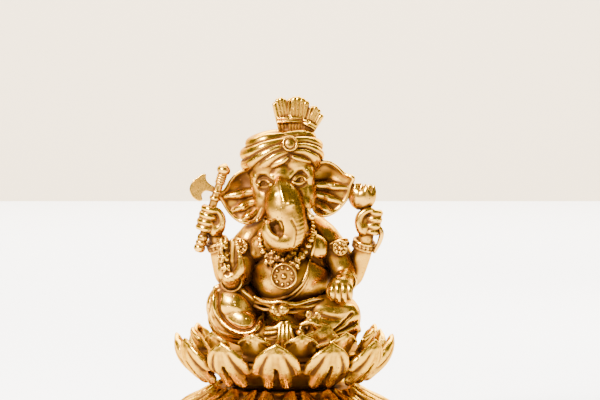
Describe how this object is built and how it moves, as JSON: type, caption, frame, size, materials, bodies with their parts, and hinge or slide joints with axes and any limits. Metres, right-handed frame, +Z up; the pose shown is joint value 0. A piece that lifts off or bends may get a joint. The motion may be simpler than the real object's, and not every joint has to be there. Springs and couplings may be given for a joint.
{
  "type": "hindu deity statue",
  "caption": "Seated elephant-headed, four-armed deity on a double lotus base, a small shelf statuette with an antique gold finish.",
  "frame": {"origin": "centre of the pad's underside, where the statuette stands", "axes": "+Z up; the face looks along -Y; +X is to the right of someone facing the figure, which is the figure's own left"},
  "size_m": [0.0802, 0.0802, 0.1187],
  "materials": {
    "antique_gold_base": "antique gold paint with dark brown wash in the hollows, semi-gloss",
    "antique_gold_skin": "antique gold paint with dark brown wash in the hollows, semi-gloss",
    "antique_gold_cloth": "antique gold paint over sculpted cloth folds, dark brown wash",
    "antique_gold_ornament": "antique gold paint over fine relief, dark brown wash",
    "antique_gold_eye": "antique gold paint with a brown wash in the eyelids",
    "pale_gold_tusk": "paler rubbed gold",
    "felt_pad": "dark brown felt, matt"
  },
  "bodies": {
    "root": {"plinth": "antique_gold_base", "lower_lotus": "antique_gold_base", "upper_lotus": "antique_gold_base", "inner_petal_ring": "antique_gold_base", "lotus_seat": "antique_gold_base", "torso": "antique_gold_skin", "head": "antique_gold_skin", "trunk": "antique_gold_skin", "right_ear": "antique_gold_skin", "left_ear": "antique_gold_skin", "right_foot": "antique_gold_skin", "left_foot": "antique_gold_skin", "right_rear_upper_arm": "antique_gold_skin", "right_rear_forearm": "antique_gold_skin", "right_rear_hand": "antique_gold_skin", "left_rear_upper_arm": "antique_gold_skin", "left_rear_forearm": "antique_gold_skin", "left_rear_hand": "antique_gold_skin", "right_front_upper_arm": "antique_gold_skin", "right_front_forearm": "antique_gold_skin", "right_front_hand": "antique_gold_skin", "left_front_upper_arm": "antique_gold_skin", "left_front_forearm": "antique_gold_skin", "left_front_hand": "antique_gold_skin", "mouse": "antique_gold_skin", "modak": "antique_gold_skin", "hips": "antique_gold_cloth", "right_leg": "antique_gold_cloth", "left_leg": "antique_gold_cloth", "turban": "antique_gold_cloth", "turban_fan": "antique_gold_cloth", "waist_sash": "antique_gold_cloth", "sash_knot": "antique_gold_cloth", "sash_ends": "antique_gold_cloth", "turban_brooch": "antique_gold_ornament", "right_rear_bracelet": "antique_gold_ornament", "left_rear_bracelet": "antique_gold_ornament", "right_front_bracelet": "antique_gold_ornament", "left_front_bracelet": "antique_gold_ornament", "right_armlet": "antique_gold_ornament", "left_armlet": "antique_gold_ornament", "bead_strand": "antique_gold_ornament", "pendant": "antique_gold_ornament", "sacred_thread": "antique_gold_ornament", "axe_shaft": "antique_gold_ornament", "axe_blade": "antique_gold_ornament", "lotus_bud": "antique_gold_ornament", "right_eye": "antique_gold_eye", "left_eye": "antique_gold_eye", "right_tusk": "pale_gold_tusk", "left_tusk_stub": "pale_gold_tusk", "base_pad": "felt_pad"}
  },
  "joints": []
}
